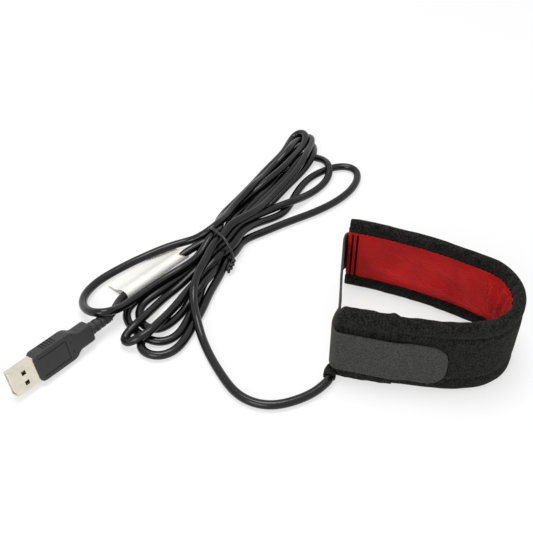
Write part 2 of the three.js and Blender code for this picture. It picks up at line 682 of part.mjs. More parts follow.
function grip() {
  const wide = GRIP_WIDTH / 2 - GRIP_EDGE;
  const narrow = NECK_WIDTH / 2 - GRIP_EDGE;
  const start = USB_SHOWN + GRIP_EDGE;
  const shoulder = USB_SHOWN + GRIP_LENGTH;
  const end = GRIP_END - GRIP_EDGE;
  const half = [
    [start, wide, GRIP_ROUND], [shoulder, wide, GRIP_ROUND], [shoulder + GRIP_TAPER, narrow, GRIP_ROUND],
    [end, narrow, GRIP_ROUND / 2],
  ];
  const outline = [...half.map(([x, y, round]) => [x, -y, round]), ...half.reverse()];
  const depth = GRIP_THICKNESS - 2 * GRIP_EDGE;
  const body = new THREE.ExtrudeGeometry(roundedShape(outline), {
    depth, curveSegments: 3, bevelThickness: GRIP_EDGE, bevelSize: GRIP_EDGE, bevelSegments: 2,
  }).translate(0, 0, -depth / 2);
  const top = GRIP_THICKNESS / 2;
  const pocket = box(USB_SHOWN - 1, USB_SHOWN + USB_BURIED + PLUG_GAP, -USB_WIDTH / 2 - PLUG_GAP,
    USB_WIDTH / 2 + PLUG_GAP, -USB_HEIGHT / 2 - PLUG_GAP, USB_HEIGHT / 2 + PLUG_GAP);
  const tools = [pocket];
  for (let rib = 0; rib < RIB_COUNT; rib += 1) {
    const x = USB_SHOWN + GRIP_LENGTH / 2 + (rib - (RIB_COUNT - 1) / 2) * RIB_PITCH;
    for (const side of [-1, 1]) {
      const y = side * (GRIP_WIDTH / 2 + 1 - RIB_DEPTH);
      tools.push(box(x - RIB_WIDTH / 2, x + RIB_WIDTH / 2, y - 1, y + 1, -top + GRIP_EDGE, top - GRIP_EDGE));
    }
  }
  const panelFrom = USB_SHOWN + PANEL_SETBACK;
  const panelTo = panelFrom + PANEL_LENGTH;
  const edge = PANEL_WIDTH / 2;
  for (const face of [-1, 1]) {
    const z = [face * top - PANEL_DEPTH, face * top + PANEL_DEPTH];
    tools.push(box(panelFrom, panelTo, edge - PANEL_LINE, edge, ...z));
    tools.push(box(panelFrom, panelTo, -edge, PANEL_LINE - edge, ...z));
    tools.push(box(panelTo - PANEL_LINE, panelTo, PANEL_LINE - edge - 0.1, edge - PANEL_LINE + 0.1, ...z));
    for (const side of [-1, 1]) {
      const radius = DIMPLE_DIAMETER / 2;
      const dimple = new THREE.CylinderGeometry(radius, radius, 2 * PANEL_DEPTH, 8);
      dimple.rotateX(Math.PI / 2);
      tools.push(dimple.translate(panelTo + DIMPLE_SETBACK, (side * DIMPLE_SPACING) / 2, face * top));
    }
  }
  return cut(join([body, strainRelief()]), tools);
}

const behindRelief = (gap) => plug.localToWorld(new THREE.Vector3(GRIP_END + RELIEF_LENGTH + gap, 0, 0));
const plugLine = new THREE.CatmullRomCurve3([
  behindRelief(FREE_GAP), behindRelief(CORD_RADIUS),
  ...PLUG_ROUTE.map((point) => new THREE.Vector3(...point)),
]);

// The hank, with room for the tie, the label and the two single runs that leave it
function hank() {
  const room = CORD_RADIUS + FREE_GAP;
  const longer = (line) => {
    const end = line.getPoint(1).addScaledVector(line.getTangent(1), FREE_GAP);
    return new THREE.CatmullRomCurve3([...line.points, end]);
  };
  const flag = label(FREE_GAP).applyMatrix4(labelFrame.matrixWorld);
  return cut(join(HANK_RUNS.map(hankRun)), [
    rod(tieLine(), TIE_WIRE / 2 + FREE_GAP, 40, 0, 8), rod(longer(exitLine), room, 26),
    rod(longer(plugLine), room, 20), flag,
  ]);
}

add("outer_shell", outerShell(), 0x161616, 0.95);
add("insulation_pad", layer(PAD_AT, PAD_THICKNESS, SHELL_WALL + LAYER_GAP), 0xd8d4c8, 0.9);
add("heater_wire", heaterWire(), 0xb9a98a, 0.4, 0.8);
add("carrier_film", layer(FILM_AT, FILM_THICKNESS, FILM_MARGIN), 0xc58a2c, 0.4);
add("red_lining", layer(LINING_AT, LINING_THICKNESS, SHELL_WALL + LAYER_GAP), 0xb5151c, 0.6);
END_ROWS.forEach((fromEnd, i) => add(`end_stitch_row_${i + 1}`, endRow(fromEnd), 0x101010, 0.8));
add("end_cover", endCover(), 0x161616, 0.95);
add("cord_cuff", cordCuff(), 0x141414, 0.95);
add("cord_tail", rod(tailLine(), CORD_RADIUS, 8), 0x1b1b1c, 0.35);
add("lead_wire_red", lead(TAIL_HEIGHT + LEAD_OFFSET, wireHeights[1], LEAD_BENDS[0]), 0xa01818, 0.5);
add("lead_wire_black", lead(TAIL_HEIGHT - LEAD_OFFSET, wireHeights[0], LEAD_BENDS[1]), 0x111111, 0.5);
add("joint_sleeve_red", jointSleeve(wireHeights[1]), 0x151515, 0.5);
add("joint_sleeve_black", jointSleeve(wireHeights[0]), 0x151515, 0.5);
add("closure_strap", closureStrap(), 0x3a3a3c, 0.85);
add("strap_box_stitch", boxStitch(), 0x222222, 0.8);
add("cord_exit_run", rod(exitLine, CORD_RADIUS, 22), 0x1b1b1c, 0.35);
add("cord_hank", hank(), 0x1b1b1c, 0.35);
add("cord_plug_run", rod(plugLine, CORD_RADIUS, 12), 0x1b1b1c, 0.35);
add("hank_tie", rod(tieLine(), TIE_WIRE / 2, 36, 0, 8), 0x101010, 0.3);
add("label_flag", label(0), 0xf2f1ec, 0.5, 0, labelFrame);
add("plug_grip", grip(), 0x232325, 0.55, 0, plug);
add("plug_shell", plugShell(), 0xc9c4ba, 0.3, 1, plug);
add("plug_insulator", insulator(), 0xe8e6e0, 0.5, 0, plug);
for (let i = 0; i < CONTACT_COUNT; i += 1) {
  add(`plug_contact_${i + 1}`, contact(i), 0xc9a24a, 0.3, 1, plug);
}

export default heater;
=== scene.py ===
# Telescope dew heater strip: a padded velour band that closes round a lens barrel, with its tied
# USB power lead. The objects are in metres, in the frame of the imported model. Lengths below are in
# millimetres, turned by MM.
import math

import bmesh
import bpy
import numpy as np
from mathutils import Euler, Matrix, Vector


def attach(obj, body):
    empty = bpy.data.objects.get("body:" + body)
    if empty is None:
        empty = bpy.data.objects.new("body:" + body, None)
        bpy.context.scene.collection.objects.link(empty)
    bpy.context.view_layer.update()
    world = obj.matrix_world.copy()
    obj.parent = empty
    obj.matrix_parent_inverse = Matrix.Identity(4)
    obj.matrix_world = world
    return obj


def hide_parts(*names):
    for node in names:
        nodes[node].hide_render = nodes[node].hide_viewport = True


MM = 0.001
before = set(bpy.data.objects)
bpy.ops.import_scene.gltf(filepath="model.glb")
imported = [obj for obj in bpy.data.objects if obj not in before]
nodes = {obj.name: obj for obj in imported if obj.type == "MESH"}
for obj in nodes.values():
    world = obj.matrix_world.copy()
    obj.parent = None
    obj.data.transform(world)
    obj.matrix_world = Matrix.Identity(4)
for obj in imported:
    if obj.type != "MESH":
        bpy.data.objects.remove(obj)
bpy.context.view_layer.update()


# The table and the lights
# A white studio table under two large soft lamps and a plain white room. The floor shows white to
# the eye and in reflections, and keeps part of the object's shadow.
def linear(code):
    """A colour written as sRGB hex, turned linear for a shader's socket."""
    parts = [int(code[i : i + 2], 16) / 255 for i in (1, 3, 5)]
    return tuple(c / 12.92 if c <= 0.04045 else ((c + 0.055) / 1.055) ** 2.4 for c in parts) + (1.0,)


def add_node(tree, kind, inputs=None, **settings):
    """Adds a node with its settings. An input that is given a socket is linked to it, any other is set."""
    new = tree.nodes.new(kind)
    for key, value in settings.items():
        setattr(new, key, value)
    for name, value in (inputs or {}).items():
        if isinstance(value, bpy.types.NodeSocket):
            tree.links.new(value, new.inputs[name])
        else:
            new.inputs[name].default_value = value
    return new


def bare_material(name):
    """A material with no nodes yet."""
    made = bpy.data.materials.new(name)
    made.use_nodes = True
    made.node_tree.nodes.clear()
    return made


def maths(tree, operation, *inputs):
    """The output of a maths node."""
    return add_node(tree, "ShaderNodeMath", dict(enumerate(inputs)), operation=operation).outputs[0]


def map_range(tree, value, low, high, to_low=0.0, to_high=1.0):
    """A value carried over from the range low to high to another range."""
    return add_node(tree, "ShaderNodeMapRange", {
        "Value": value, "From Min": low, "From Max": high, "To Min": to_low, "To Max": to_high,
    }).outputs[0]


def seen_share(tree):
    """1 for what the eye, a reflection or a look through glass meets, 0 for light that bounces."""
    path = add_node(tree, "ShaderNodeLightPath")
    direct = maths(tree, "MAXIMUM", path.outputs["Is Camera Ray"], path.outputs["Is Glossy Ray"])
    return maths(tree, "MAXIMUM", direct, path.outputs["Is Transmission Ray"])


FLOOR_SIZE = 6.0
FLOOR_DEPTH = 0.0005
FLOOR_GLOW_SHARE = 0.62

floor_material = bare_material("studio_table_white")
tree = floor_material.node_tree
table_white = add_node(tree, "ShaderNodeBsdfDiffuse", {"Color": linear("#f4f4f4")})
table_glow = add_node(tree, "ShaderNodeEmission", {"Color": linear("#ffffff"), "Strength": 1.0})
glow_share = maths(tree, "MULTIPLY", seen_share(tree), FLOOR_GLOW_SHARE)
table_mix = add_node(tree, "ShaderNodeMixShader", {
    0: glow_share, 1: table_white.outputs[0], 2: table_glow.outputs[0],
})
add_node(tree, "ShaderNodeOutputMaterial", {"Surface": table_mix.outputs[0]})

bm = bmesh.new()
bmesh.ops.create_grid(bm, x_segments=1, y_segments=1, size=FLOOR_SIZE / 2)
bmesh.ops.translate(bm, verts=bm.verts, vec=(0, 0, -FLOOR_DEPTH))
floor_mesh = bpy.data.meshes.new("studio_table")
bm.to_mesh(floor_mesh)
bm.free()
floor_mesh.materials.append(floor_material)
floor = bpy.data.objects.new("studio_table", floor_mesh)
bpy.context.scene.collection.objects.link(floor)

world = bpy.data.worlds.new("white_room")
bpy.context.scene.world = world
world.use_nodes = True
world.node_tree.nodes.clear()
tree = world.node_tree
ROOM_LOW = 0.05
ROOM_HIGH = 0.7
room_way = add_node(tree, "ShaderNodeTexCoord")
room_height = add_node(tree, "ShaderNodeSeparateXYZ", {0: room_way.outputs["Generated"]})
room_light = map_range(tree, room_height.outputs[2], 0.05, 0.95, ROOM_LOW, ROOM_HIGH)
room_strength = map_range(tree, seen_share(tree), 0.0, 1.0, room_light, 1.0)
room = add_node(tree, "ShaderNodeBackground", {"Color": linear("#ffffff"), "Strength": room_strength})
add_node(tree, "ShaderNodeOutputWorld", {"Surface": room.outputs[0]})


def lamp(name, place, target, size, power):
    """A square soft lamp that faces its target."""
    light = bpy.data.lights.new(name, "AREA")
    light.size = size
    light.energy = power
    made = bpy.data.objects.new(name, light)
    way = Vector(target) - Vector(place)
    made.matrix_world = Matrix.Translation(place) @ way.to_track_quat("-Z", "Y").to_matrix().to_4x4()
    bpy.context.scene.collection.objects.link(made)


lamp("key_lamp", (-0.12, 0.12, 1.05), (-0.07, 0.04, 0.0), 0.5, 6.5)
lamp("fill_lamp", (-0.5, -0.85, 0.6), (0.0, 0.0, 0.02), 0.6, 5.5)

# The camera's place and lens, from a fit to the photograph
CAMERA_PLACE = (-68.1, -272.2, 295.4)
CAMERA_PITCH = 47.03
CAMERA_LENS = 57.43
CAMERA_SENSOR = 36.0
lens = bpy.data.cameras.new("camera")
lens.lens = CAMERA_LENS
lens.sensor_width = CAMERA_SENSOR
lens.clip_start = 0.01
camera = bpy.data.objects.new("camera", lens)
camera.location = Vector(CAMERA_PLACE) * MM
camera.rotation_euler = Euler((math.radians(CAMERA_PITCH), 0, 0))
bpy.context.scene.collection.objects.link(camera)
bpy.context.scene.camera = camera
bpy.context.scene.view_settings.view_transform = "Standard"


# The cord
# One round two-core lead in a smooth black PVC jacket, folded to and fro through a wire tie. Its
# route is given strand by strand, then settled: turns that touch are pushed apart along the view,
# and what is free sinks to the table. In the thick of the hank some turns still run into one
# another.
CORD_DIAMETER = 4.1
CORD_RADIUS = CORD_DIAMETER / 2
TIE_CENTRE = np.array([-92.2, 54.3])
TIE_ACROSS = math.radians(-50.7)
TIE_ROWS = {"bottom": 3.9, "middle": 7.4, "top": 10.9}
TIE_SIDE = np.array([math.cos(TIE_ACROSS), math.sin(TIE_ACROSS)])
TIE_AXIS = np.array([-TIE_SIDE[1], TIE_SIDE[0]])
TIE_STRAIGHT = 2.5
LOW = 2.1


def through_tie(across, row, way):
    """Three points through a slot of the tie: way 1 goes to the right-hand loops, -1 comes back."""
    steps = (-TIE_STRAIGHT, 0, TIE_STRAIGHT)
    spots = [TIE_CENTRE + TIE_SIDE * across + TIE_AXIS * along * way for along in steps]
    return [(x, y, TIE_ROWS[row]) for x, y in spots]


EXIT_RUN = [
    (-40.0, -29.3, 3), (-41.1, -32.3, 3), (-44.7, -36.2, 2.5), (-53.7, -41.7, LOW), (-67.7, -45.2, LOW),
    (-79.7, -40.2, LOW), (-87.7, -29.2, 2.5), (-96.2, -12.7, 4.5), (-101.7, 5.8, 7), (-103.2, 17.3, 8),
    (-101.7, 30.8, 9), (-96.5, 43, 10.5),
]
FOURTH_RIGHT = [
    (-87.7, 65.1, 10), (-79, 73.7, 9.5), (-70.5, 82.4, 9), (-63, 94.6, 9), (-56.6, 105.9, 9),
    (-51.2, 116.6, 8.5), (-46.9, 127.6, 8), (-43.3, 137.8, 7.5), (-41.3, 146, 7), (-42.4, 151.4, 6),
    (-46, 154, 4.5), (-50, 150.5, 3), (-52.5, 143, LOW), (-56.5, 132, LOW), (-62, 120.5, LOW),
    (-69, 107.5, LOW), (-76, 95, LOW), (-82.5, 84, 2.3), (-87.5, 74, 2.8), (-89.5, 65.5, 3.5),
]
SECOND_LEFT = [
    (-95.8, 43, 3.2), (-99, 33, 2.5), (-101, 22, LOW), (-102.9, 12.7, LOW), (-105, 5.5, LOW),
    (-107.8, -1.7, LOW), (-111.2, -6.8, LOW), (-115.8, -8.7, LOW), (-120.6, -8.1, LOW),
    (-125, -6.2, LOW), (-129.5, -1.5, LOW), (-133.2, 3, LOW), (-135.2, 8, LOW), (-135, 13, LOW),
    (-132.5, 17, LOW), (-127.5, 21, LOW), (-119.5, 28.5, LOW), (-111, 37, 2.5), (-103.5, 46.5, 3.2),
]
HIDDEN_RIGHT = [
    (-91.5, 65.5, 3.2), (-84, 77, LOW), (-78.5, 88, LOW), (-71.5, 100, LOW), (-64.5, 113, LOW),
    (-59, 124.5, LOW), (-55.5, 134, LOW), (-53.5, 141, LOW), (-50.5, 145, LOW), (-47.3, 141.5, LOW),
    (-48, 135, LOW), (-51.5, 125, LOW), (-56.5, 114, LOW), (-62.5, 103, LOW), (-69, 92, LOW),
    (-75.5, 82, 2.3), (-83, 71.5, 3),
]
FOURTH_LEFT = [
    (-99, 40, 2.8), (-104.5, 27, LOW), (-110.5, 16.5, LOW), (-117, 6.5, LOW), (-122.5, -1.5, LOW),
    (-126.6, -8, LOW), (-126.3, -12.5, LOW), (-123.2, -15.8, LOW), (-118.7, -17.4, LOW),
    (-114.1, -16.8, LOW), (-109.7, -13.7, LOW), (-106.4, -8.1, LOW), (-103.6, -1, LOW),
    (-101.2, 6.9, LOW), (-97, 20.6, 2.5), (-93.4, 29.5, 3), (-90.2, 39.5, 3.5),
]
FIRST_RIGHT = [
    (-81.5, 60.5, 3), (-72.9, 66.8, 2.5), (-57, 77.4, LOW), (-41.8, 86.1, LOW), (-28.8, 96.1, LOW),
    (-19.7, 107.4, LOW), (-15.9, 118.1, LOW), (-17, 125.8, LOW), (-22.8, 128, LOW), (-29.5, 126.9, LOW),
    (-34.3, 124.1, LOW), (-43.2, 117, LOW), (-48.7, 108.5, LOW), (-52.1, 101.2, LOW), (-54.8, 93, LOW),
    (-58.7, 85.1, 2.3), (-63.7, 80.2, 3), (-72.9, 74.3, 4.5), (-80.8, 67, 6.2),
]
THIRD_LEFT = [
    (-94.5, 39.5, 8), (-98.2, 31.5, 8.3), (-102, 25, 8.3), (-106.4, 17.3, 8.3), (-112, 7.8, 8),
    (-117, -0.1, 7.5), (-122, -6.6, 7), (-127.8, -10.7, 6), (-131.8, -12.9, 5), (-134.5, -11, 4.5),
    (-134, -7, 4.5), (-131.3, -3.5, 4.5), (-128, 0.5, 5), (-125.1, 4.6, 5.5), (-120.4, 11.7, 6),
    (-114.1, 19.7, 6.5), (-107.3, 28.9, 7), (-100.1, 37.5, 7.4),
]
SECOND_RIGHT = [
    (-83.2, 68.5, 7), (-78, 74.5, 6.5), (-70.5, 81.2, 6), (-60.6, 87.1, 5.5), (-51.1, 93.6, 5),
    (-41.4, 101.2, 4.5), (-35.2, 109.6, 4.5), (-32.1, 119.3, 4.5), (-33, 128.1, 4.5),
    (-37.4, 133.2, 4.5), (-44, 134.6, 5), (-49, 131.3, 5.5), (-51.5, 125.5, 5.5), (-54.5, 118, 5.5),
    (-59, 108, 5.5), (-65, 98, 5.5), (-71.5, 87.5, 5.8), (-78.5, 77, 6), (-86, 67, 7),
]
MIDDLE_LEFT = [
    (-101.5, 42.5, 6.5), (-110.1, 32.8, 5.5), (-119.2, 23.8, 4.5), (-125, 18.6, 4.2),
    (-128.4, 13.3, 4.2), (-128.6, 6.6, 4.2), (-126.4, 0, 4.2), (-122.5, -3.4, 4), (-118, -2.6, 4),
    (-112.8, 2, 4), (-108.4, 7.3, 4), (-105, 14, 4), (-102.8, 20, 4), (-99, 30, 4), (-94, 41, 3.9),
]
THIRD_RIGHT = [
    (-85, 64, 4.2), (-77, 76, 4.6), (-69.3, 87.8, 5), (-63.6, 95.8, 5), (-59.1, 104, 5),
    (-54.5, 109.5, 5), (-49.8, 115.5, 5), (-45.7, 122.8, 5), (-42.7, 130, 5), (-40.8, 136.8, 5),
    (-40.2, 144.7, 5), (-42, 149.5, 5.5), (-46, 150.5, 6.5), (-49.8, 146.5, 7.5), (-53, 139, 8.5),
    (-57.5, 128.5, 9.5), (-63.5, 117, 10.5), (-71, 104, 11), (-78.5, 91.5, 11.5), (-85.5, 79.5, 11.5),
    (-91, 68, 11.2),
]
FIRST_LEFT = [
    (-101, 55.5, 10.5), (-106.3, 54.2, 10), (-116.4, 50, 9.5), (-126.2, 44.4, 9.2), (-135.7, 37.4, 9.2),
    (-143.4, 30.4, 9.5), (-149.6, 23.8, 10), (-153.8, 16, 10.5), (-155, 9.6, 11), (-153.2, 4, 11.5),
    (-149.6, 0.8, 12), (-145, -0.8, 12.3), (-140.3, 1, 12), (-136, 5, 11.2), (-128.2, 14.2, 10),
    (-119.2, 24, 9.5), (-109.9, 32.7, 9.8), (-101, 42.5, 10.5),
]
FIFTH_RIGHT = [
    (-93, 69, 10.8), (-90, 74, 10.3), (-84, 81.1, 10), (-76.1, 92, 10), (-68.1, 103.3, 9.5),
    (-60.3, 114.9, 9), (-53.6, 125.9, 8.5), (-48, 137.3, 8), (-44.9, 147, 8), (-45.2, 154, 7.5),
    (-48.5, 156.6, 7), (-51.5, 153, 6.5), (-54, 146, 6.5), (-58, 135.5, 6.5), (-65.4, 123.1, 6.5),
    (-73.2, 109.1, 6.5), (-80.6, 95.6, 7), (-87.7, 82.6, 7), (-94, 71.5, 7.4),
]
PLUG_RUN = [
    (-104.5, 54.5, 5.5), (-111.1, 49.7, 3.5), (-121.9, 37.9, 3), (-129.9, 29, 3), (-138.3, 19.8, 3),
    (-139.9, 15.5, 3.6), (-139.9, 10.1, 5), (-140.9, 6, 6.3), (-141.9, 3.5, 6.9), (-143.2, 2, 6.98),
]
STRANDS = [
    EXIT_RUN, through_tie(0.4, "top", 1), FOURTH_RIGHT, through_tie(-4.1, "bottom", -1), SECOND_LEFT,
    through_tie(-8.2, "bottom", 1), HIDDEN_RIGHT, through_tie(0, "bottom", -1), FOURTH_LEFT,
    through_tie(8.2, "bottom", 1), FIRST_RIGHT, through_tie(6.15, "middle", -1), THIRD_LEFT,
    through_tie(2.05, "middle", 1), SECOND_RIGHT, through_tie(-2.05, "middle", -1), MIDDLE_LEFT,
    through_tie(4.1, "bottom", 1), THIRD_RIGHT, through_tie(-8.0, "top", -1), FIRST_LEFT,
    through_tie(-3.9, "top", 1), FIFTH_RIGHT, through_tie(-6.15, "middle", -1), PLUG_RUN,
]


def even_path(points, step):
    """A smooth line through points (centripetal Catmull-Rom), cut to even steps."""
    p = np.array(points, float)
    p = np.vstack([2 * p[0] - p[1], p, 2 * p[-1] - p[-2]])
    fine = []
    for a, b, c, d in zip(p, p[1:], p[2:], p[3:]):
        t1 = np.linalg.norm(b - a) ** 0.5
        t2 = t1 + np.linalg.norm(c - b) ** 0.5
        t3 = t2 + np.linalg.norm(d - c) ** 0.5
        t = np.linspace(t1, t2, 12, endpoint=False)[:, None]
        ab = (t1 - t) / t1 * a + t / t1 * b
        bc = (t2 - t) / (t2 - t1) * b + (t - t1) / (t2 - t1) * c
        cd = (t3 - t) / (t3 - t2) * c + (t - t2) / (t3 - t2) * d
        abc = (t2 - t) / t2 * ab + t / t2 * bc
        bcd = (t3 - t) / (t3 - t1) * bc + (t - t1) / (t3 - t1) * cd
        fine.append((t2 - t) / (t2 - t1) * abc + (t - t1) / (t2 - t1) * bcd)
    fine = np.vstack(fine + [p[-2:-1]])
    along = np.concatenate([[0], np.cumsum(np.linalg.norm(np.diff(fine, axis=0), axis=1))])
    count = int(round(along[-1] / step)) + 1
    at = np.linspace(0, along[-1], count)
    return np.stack([np.interp(at, along, fine[:, k]) for k in range(3)], axis=1)


# The longest left-hand loop lies across the plug's strain relief, which begins RELIEF_SPAN behind
# the plug's tip
PLUG_TIP = (-178.3, -38.9, 8.5)
PLUG_TURN = Euler((math.radians(73), math.radians(1.6), math.radians(49.3)), "XYZ")
RELIEF_SPAN = (34, 56)
RELIEF_RADIUS = 3.1
LABEL_START = (-137.1, 21.1, 3.0)
LABEL_YAW = math.radians(47.8)
LABEL_LENGTH = 41.0
LABEL_WIDTH = 34.0
LEAF_TOP = [(-3, 3.0), (0, 5.6), (2.5, 5.2), (7, 2.8), (13, 1.0)]

SETTLE_STEP = 3.0
SETTLE_ROUNDS = 420
SMOOTH_ROUNDS = 3
SETTLE_GAP = CORD_DIAMETER * 1.03
SINK = 0.04
VIEW_PULL = 0.16
FREE_STIFFNESS = 0.3
HELD_STIFFNESS = 0.1
PUSH_SHARE = 0.45
PUSH_EASE = 0.6
HELD_WEIGHT = 0.15
NEIGHBOURS = 4
NEAR_ENOUGH = 30
TIE_HALF_WIDTH = 11
LABEL_POINTS = 40
EXIT_POINTS = 4
PLUG_POINTS = 5
CLEAR_OF_RELIEF = 8
CORD_STEP = 1.4


def settle(start):
    """Pushes the turns apart and lets them sink, while each point keeps its place in the view."""
    p = start.copy()
    count = len(p)
    sight = start - np.array(CAMERA_PLACE)
    sight /= np.linalg.norm(sight, axis=1)[:, None]
    reach = (start[:, :2] - TIE_CENTRE) @ TIE_AXIS
    beside = (start[:, :2] - TIE_CENTRE) @ TIE_SIDE
    held = (np.abs(reach) < TIE_STRAIGHT + 0.4) & (np.abs(beside) < TIE_HALF_WIDTH)
    from_label = start[:, :2] - np.array(LABEL_START[:2])
    label_way = np.array([math.cos(LABEL_YAW), math.sin(LABEL_YAW)])
    leaf_way = np.array([-label_way[1], label_way[0]])
    along_label = from_label @ label_way
    off_label = np.abs(from_label @ leaf_way)
    last = np.arange(count) > count - LABEL_POINTS
    held |= last & (along_label > -2) & (along_label < LABEL_LENGTH + 1) & (off_label < 4)
    held[:EXIT_POINTS] = True
    held[-PLUG_POINTS:] = True
    rows, columns = np.triu_indices(count, NEIGHBOURS)
    near = np.linalg.norm(start[rows] - start[columns], axis=1) < NEAR_ENOUGH
    rows, columns = rows[near], columns[near]
    turn = np.array(PLUG_TURN.to_matrix())
    relief = np.array([np.array(PLUG_TIP) + turn @ np.array([x, 0, 0]) for x in range(*RELIEF_SPAN, 2)])
    clear = RELIEF_RADIUS + CORD_RADIUS
    for _ in range(SETTLE_ROUNDS):
        p[:, 2] -= np.where(held, 0, SINK)
        drift = start - p
        drift -= (drift * sight).sum(1)[:, None] * sight
        p += drift * VIEW_PULL
        p[held] = start[held]
        bend = np.zeros_like(p)
        bend[1:-1] = (p[:-2] + p[2:]) / 2 - p[1:-1]
        stiff = np.zeros_like(p)
        stiff[2:-2] = (bend[1:-3] + bend[3:-1]) / 2 - bend[2:-2]
        p -= np.where(held[:, None], HELD_STIFFNESS, FREE_STIFFNESS) * stiff
        apart = p[rows] - p[columns]
        gap = np.linalg.norm(apart, axis=1) + 1e-9
        tight = gap < SETTLE_GAP
        push = apart[tight] / gap[tight, None] * ((SETTLE_GAP - gap[tight]) * PUSH_SHARE)[:, None]
        weight_a = np.where(held[rows[tight]], HELD_WEIGHT, 1.0)[:, None]
        weight_b = np.where(held[columns[tight]], HELD_WEIGHT, 1.0)[:, None]
        np.add.at(p, rows[tight], push * weight_a * PUSH_EASE)
        np.add.at(p, columns[tight], -push * weight_b * PUSH_EASE)
        for spot in relief:
            away = p[:-CLEAR_OF_RELIEF] - spot
            far = np.linalg.norm(away, axis=1)
            inside = far < clear
            p[:-CLEAR_OF_RELIEF][inside] += away[inside] / far[inside, None] * (clear - far[inside])[:, None]
        from_label = p[:, :2] - np.array(LABEL_START[:2])
        along_label = from_label @ label_way
        on_leaf = ~held & (along_label > -1) & (along_label < LABEL_LENGTH + 1)
        leaf_top = np.interp(from_label @ leaf_way, *zip(*LEAF_TOP), left=0, right=0)
        p[:, 2] = np.maximum(p[:, 2], CORD_RADIUS + np.where(on_leaf, leaf_top, 0))
    for _ in range(SMOOTH_ROUNDS):
        p[2:-2] = (p[1:-3] + 2 * p[2:-2] + p[3:-1]) / 4
    return p


settled = settle(even_path([point for strand in STRANDS for point in strand], SETTLE_STEP))
cord_line = even_path(settled, CORD_STEP)


def round_line(name, line, radius, resolution=4):
    """A round cord or wire along a line in millimetres, as a mesh tube with closed ends."""
    curve = bpy.data.curves.new(name, "CURVE")
    curve.dimensions = "3D"
    curve.bevel_depth = radius * MM
    curve.bevel_resolution = resolution
    curve.use_fill_caps = True
    spline = curve.splines.new("POLY")
    spline.points.add(len(line) - 1)
    for point, place in zip(spline.points, line):
        point.co = (*(Vector(place) * MM), 1)
    guide = bpy.data.objects.new(name + "_guide", curve)
    bpy.context.scene.collection.objects.link(guide)
    seen = guide.evaluated_get(bpy.context.evaluated_depsgraph_get())
    mesh = bpy.data.meshes.new_from_object(seen)
    bpy.data.objects.remove(guide)
    bpy.data.curves.remove(curve)
    bm = bmesh.new()
    bm.from_mesh(mesh)
    bmesh.ops.remove_doubles(bm, verts=bm.verts, dist=1e-6)
    bmesh.ops.recalc_face_normals(bm, faces=bm.faces)
    for face in bm.faces:
        face.smooth = len(face.verts) <= 4
    bm.to_mesh(mesh)
    bm.free()
    made = bpy.data.objects.new(name, mesh)
    bpy.context.scene.collection.objects.link(made)
    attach(made, "root")
    return made


def principled(tree, inputs):
    """The shader and output of a material that is one coat all over."""
    shader = add_node(tree, "ShaderNodeBsdfPrincipled", inputs)
    add_node(tree, "ShaderNodeOutputMaterial", {"Surface": shader.outputs[0]})


def grain(tree, size, detail=2.0):
    """Noise on Object coordinates whose spots are about size millimetres."""
    place = add_node(tree, "ShaderNodeTexCoord").outputs["Object"]
    settings = {"Vector": place, "Scale": 1 / (size * MM), "Detail": detail}
    return add_node(tree, "ShaderNodeTexNoise", settings).outputs["Fac"]


def two_tone(tree, share, dark, light, low=0.3, high=0.7):
    """A colour between two, by a share that is spread from low to high."""
    spread = map_range(tree, share, low, high)
    tones = {0: spread, 6: linear(dark), 7: linear(light)}
    return add_node(tree, "ShaderNodeMix", tones, data_type="RGBA").outputs[2]


def bumped(tree, height, depth, strength=1.0):
    """A normal from a height, depth in millimetres."""
    return add_node(tree, "ShaderNodeBump", {"Height": height, "Distance": depth * MM,
                                             "Strength": strength}).outputs[0]


# Extruded PVC: a smooth jacket with a soft shine and faint long ripples
jacket = bare_material("pvc_jacket_black")
tree = jacket.node_tree
principled(tree, {"Base Color": two_tone(tree, grain(tree, 9), "#040404", "#080809"), "Roughness": 0.24,
                  "Specular IOR Level": 0.36, "Normal": bumped(tree, grain(tree, 2.5), 0.12, 0.5)})

cord = round_line("cord", cord_line, CORD_RADIUS, 5)
cord.data.materials.append(jacket)
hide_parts("cord_exit_run", "cord_hank", "cord_plug_run")


# The wire tie
# A plastic-coated wire, one turn round the hank's waist, with its two tails twisted together at the
# near side.
TIE_WIRE = 1.5
TIE_RING = [
    (11.9, 5.6), (10.6, 9), (8, 12), (5.2, 13.8), (0, 14.2), (-5.4, 13.6), (-8.2, 11.2), (-10.8, 7.4),
    (-11.7, 4.4), (-10.4, 1.5), (-8, 0.95), (0, 0.95), (8, 0.95), (10.6, 1.6), (11.8, 3.4),
]
TIE_TWISTS = 1.5
TIE_TAIL = [(12.6, 5.0, -0.6), (13.6, 4.3, -2.2), (14.4, 3.2, -4.2), (14.7, 2.3, -6.2)]


def tie_tail(phase):
    """One of the two twisted tails: across, height and along the hank, from the ring outward."""
    core = even_path(TIE_TAIL, 0.6)
    radius = TIE_WIRE * 0.55
    spots = []
    for i, (across, height, along) in enumerate(core):
        turn = phase + i / (len(core) - 1) * TIE_TWISTS * 2 * math.pi
        spots.append((across + radius * math.cos(turn), height + radius * math.sin(turn), along))
    return spots


